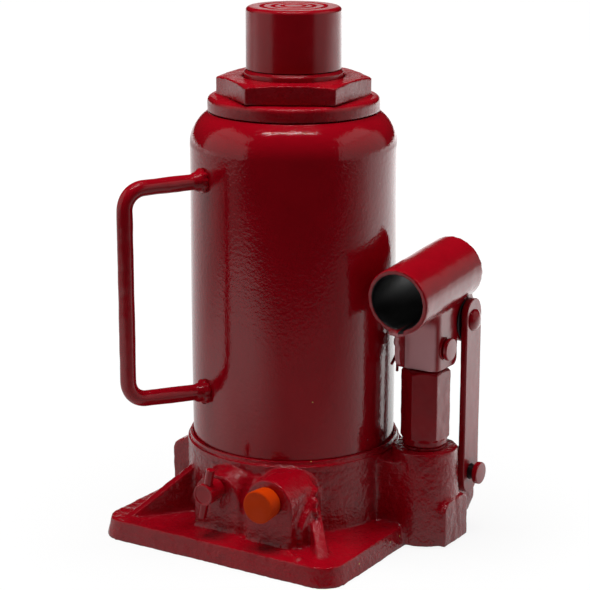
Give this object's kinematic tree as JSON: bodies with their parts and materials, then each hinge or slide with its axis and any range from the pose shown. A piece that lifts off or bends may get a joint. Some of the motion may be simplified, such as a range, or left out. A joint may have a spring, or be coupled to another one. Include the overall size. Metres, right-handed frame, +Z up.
{
  "type": "bottle jack",
  "caption": "Hydraulic bottle jack with a welded tank, carry handle, hexagonal hand pump, swinging handle socket and lifting ram.",
  "frame": {"origin": "centre of the base's underside, on the axis of the ram", "axes": "+Z up along the ram, -Y towards the front with the valves, +X towards the hand pump"},
  "size_m": [0.1726, 0.1584, 0.285],
  "materials": {
    "cast_enamel": "red enamel over a sand casting, glossy but uneven",
    "gloss_enamel": "glossy deep red enamel with a light orange-peel texture",
    "black_steel": "blackened steel, oiled",
    "bright_steel": "ground steel",
    "brass": "plain turned brass",
    "black_rubber": "matte nitrile rubber",
    "seal_plastic": "matte amber polyurethane",
    "orange_plastic": "satin orange polyethylene"
  },
  "bodies": {
    "root": {"base_casting": "cast_enamel", "top_nut": "cast_enamel", "pump_cylinder": "cast_enamel", "pump_cylinder_gasket": "cast_enamel", "tank_shell": "gloss_enamel", "carry_handle": "gloss_enamel", "link_lower_pin": "black_steel", "link_lower_pin_cotter": "black_steel", "passage_plug": "black_steel", "cylinder_tube": "bright_steel", "release_valve_ball": "bright_steel", "overload_valve_ball": "bright_steel", "suction_valve_ball": "bright_steel", "discharge_valve_ball": "bright_steel", "overload_valve_spring": "bright_steel", "discharge_valve_spring": "bright_steel", "cylinder_gasket": "brass", "overload_valve_screw": "brass", "discharge_valve_screw": "brass", "oil_filter_screen": "brass", "tank_gasket": "black_rubber", "top_nut_seal": "black_rubber", "ram_wiper": "black_rubber", "oil_filler_plug": "black_rubber", "overload_valve_plug": "orange_plastic"},
    "ram": {"ram": "bright_steel", "saddle": "gloss_enamel", "ram_guide_ring": "brass", "ram_backup_ring": "seal_plastic", "ram_cup_seal": "seal_plastic", "ram_retaining_screw": "black_steel"},
    "release_valve": {"release_valve_spindle": "cast_enamel", "release_valve_tommy_bar": "cast_enamel", "release_valve_o_ring": "black_rubber"},
    "links": {"link_plate_right": "cast_enamel", "link_plate_left": "cast_enamel", "link_upper_pin": "cast_enamel", "link_washer_right": "black_steel", "link_washer_left": "black_steel"},
    "handle_lever": {"handle_socket": "gloss_enamel", "plunger_pin": "cast_enamel", "plunger_pin_cotter": "black_steel"},
    "plunger": {"pump_plunger": "black_steel", "plunger_cup_seal": "seal_plastic"}
  },
  "joints": [
    {"name": "ram_lift", "type": "slide", "parent": "root", "child": "ram", "axis": [0, 0, 1], "range_m": [0, 0.165]},
    {"name": "release_valve_turn", "type": "hinge", "parent": "root", "child": "release_valve", "pos_m": [-0.006, -0.081, 0.0353], "axis": [0, -1, 0], "range_deg": [0, 540]},
    {"name": "link_swing", "type": "hinge", "parent": "root", "child": "links", "pos_m": [0.0772, 0.0336, 0.0329], "axis": [-1, 0, 0], "range_deg": [0, 1.75]},
    {"name": "handle_pump", "type": "hinge", "parent": "links", "child": "handle_lever", "pos_m": [0.0772, 0.0336, 0.1191], "axis": [-1, 0, 0], "range_deg": [0, 40]},
    {"name": "plunger_stroke", "type": "slide", "parent": "root", "child": "plunger", "axis": [0, 0, 1], "range_m": [0, 0.0184]}
  ],
  "couplings": [
    {"joint": "link_swing", "follows": "handle_pump", "ratio": 0.0434},
    {"joint": "plunger_stroke", "follows": "handle_pump", "m_per_rad": 0.0261}
  ]
}
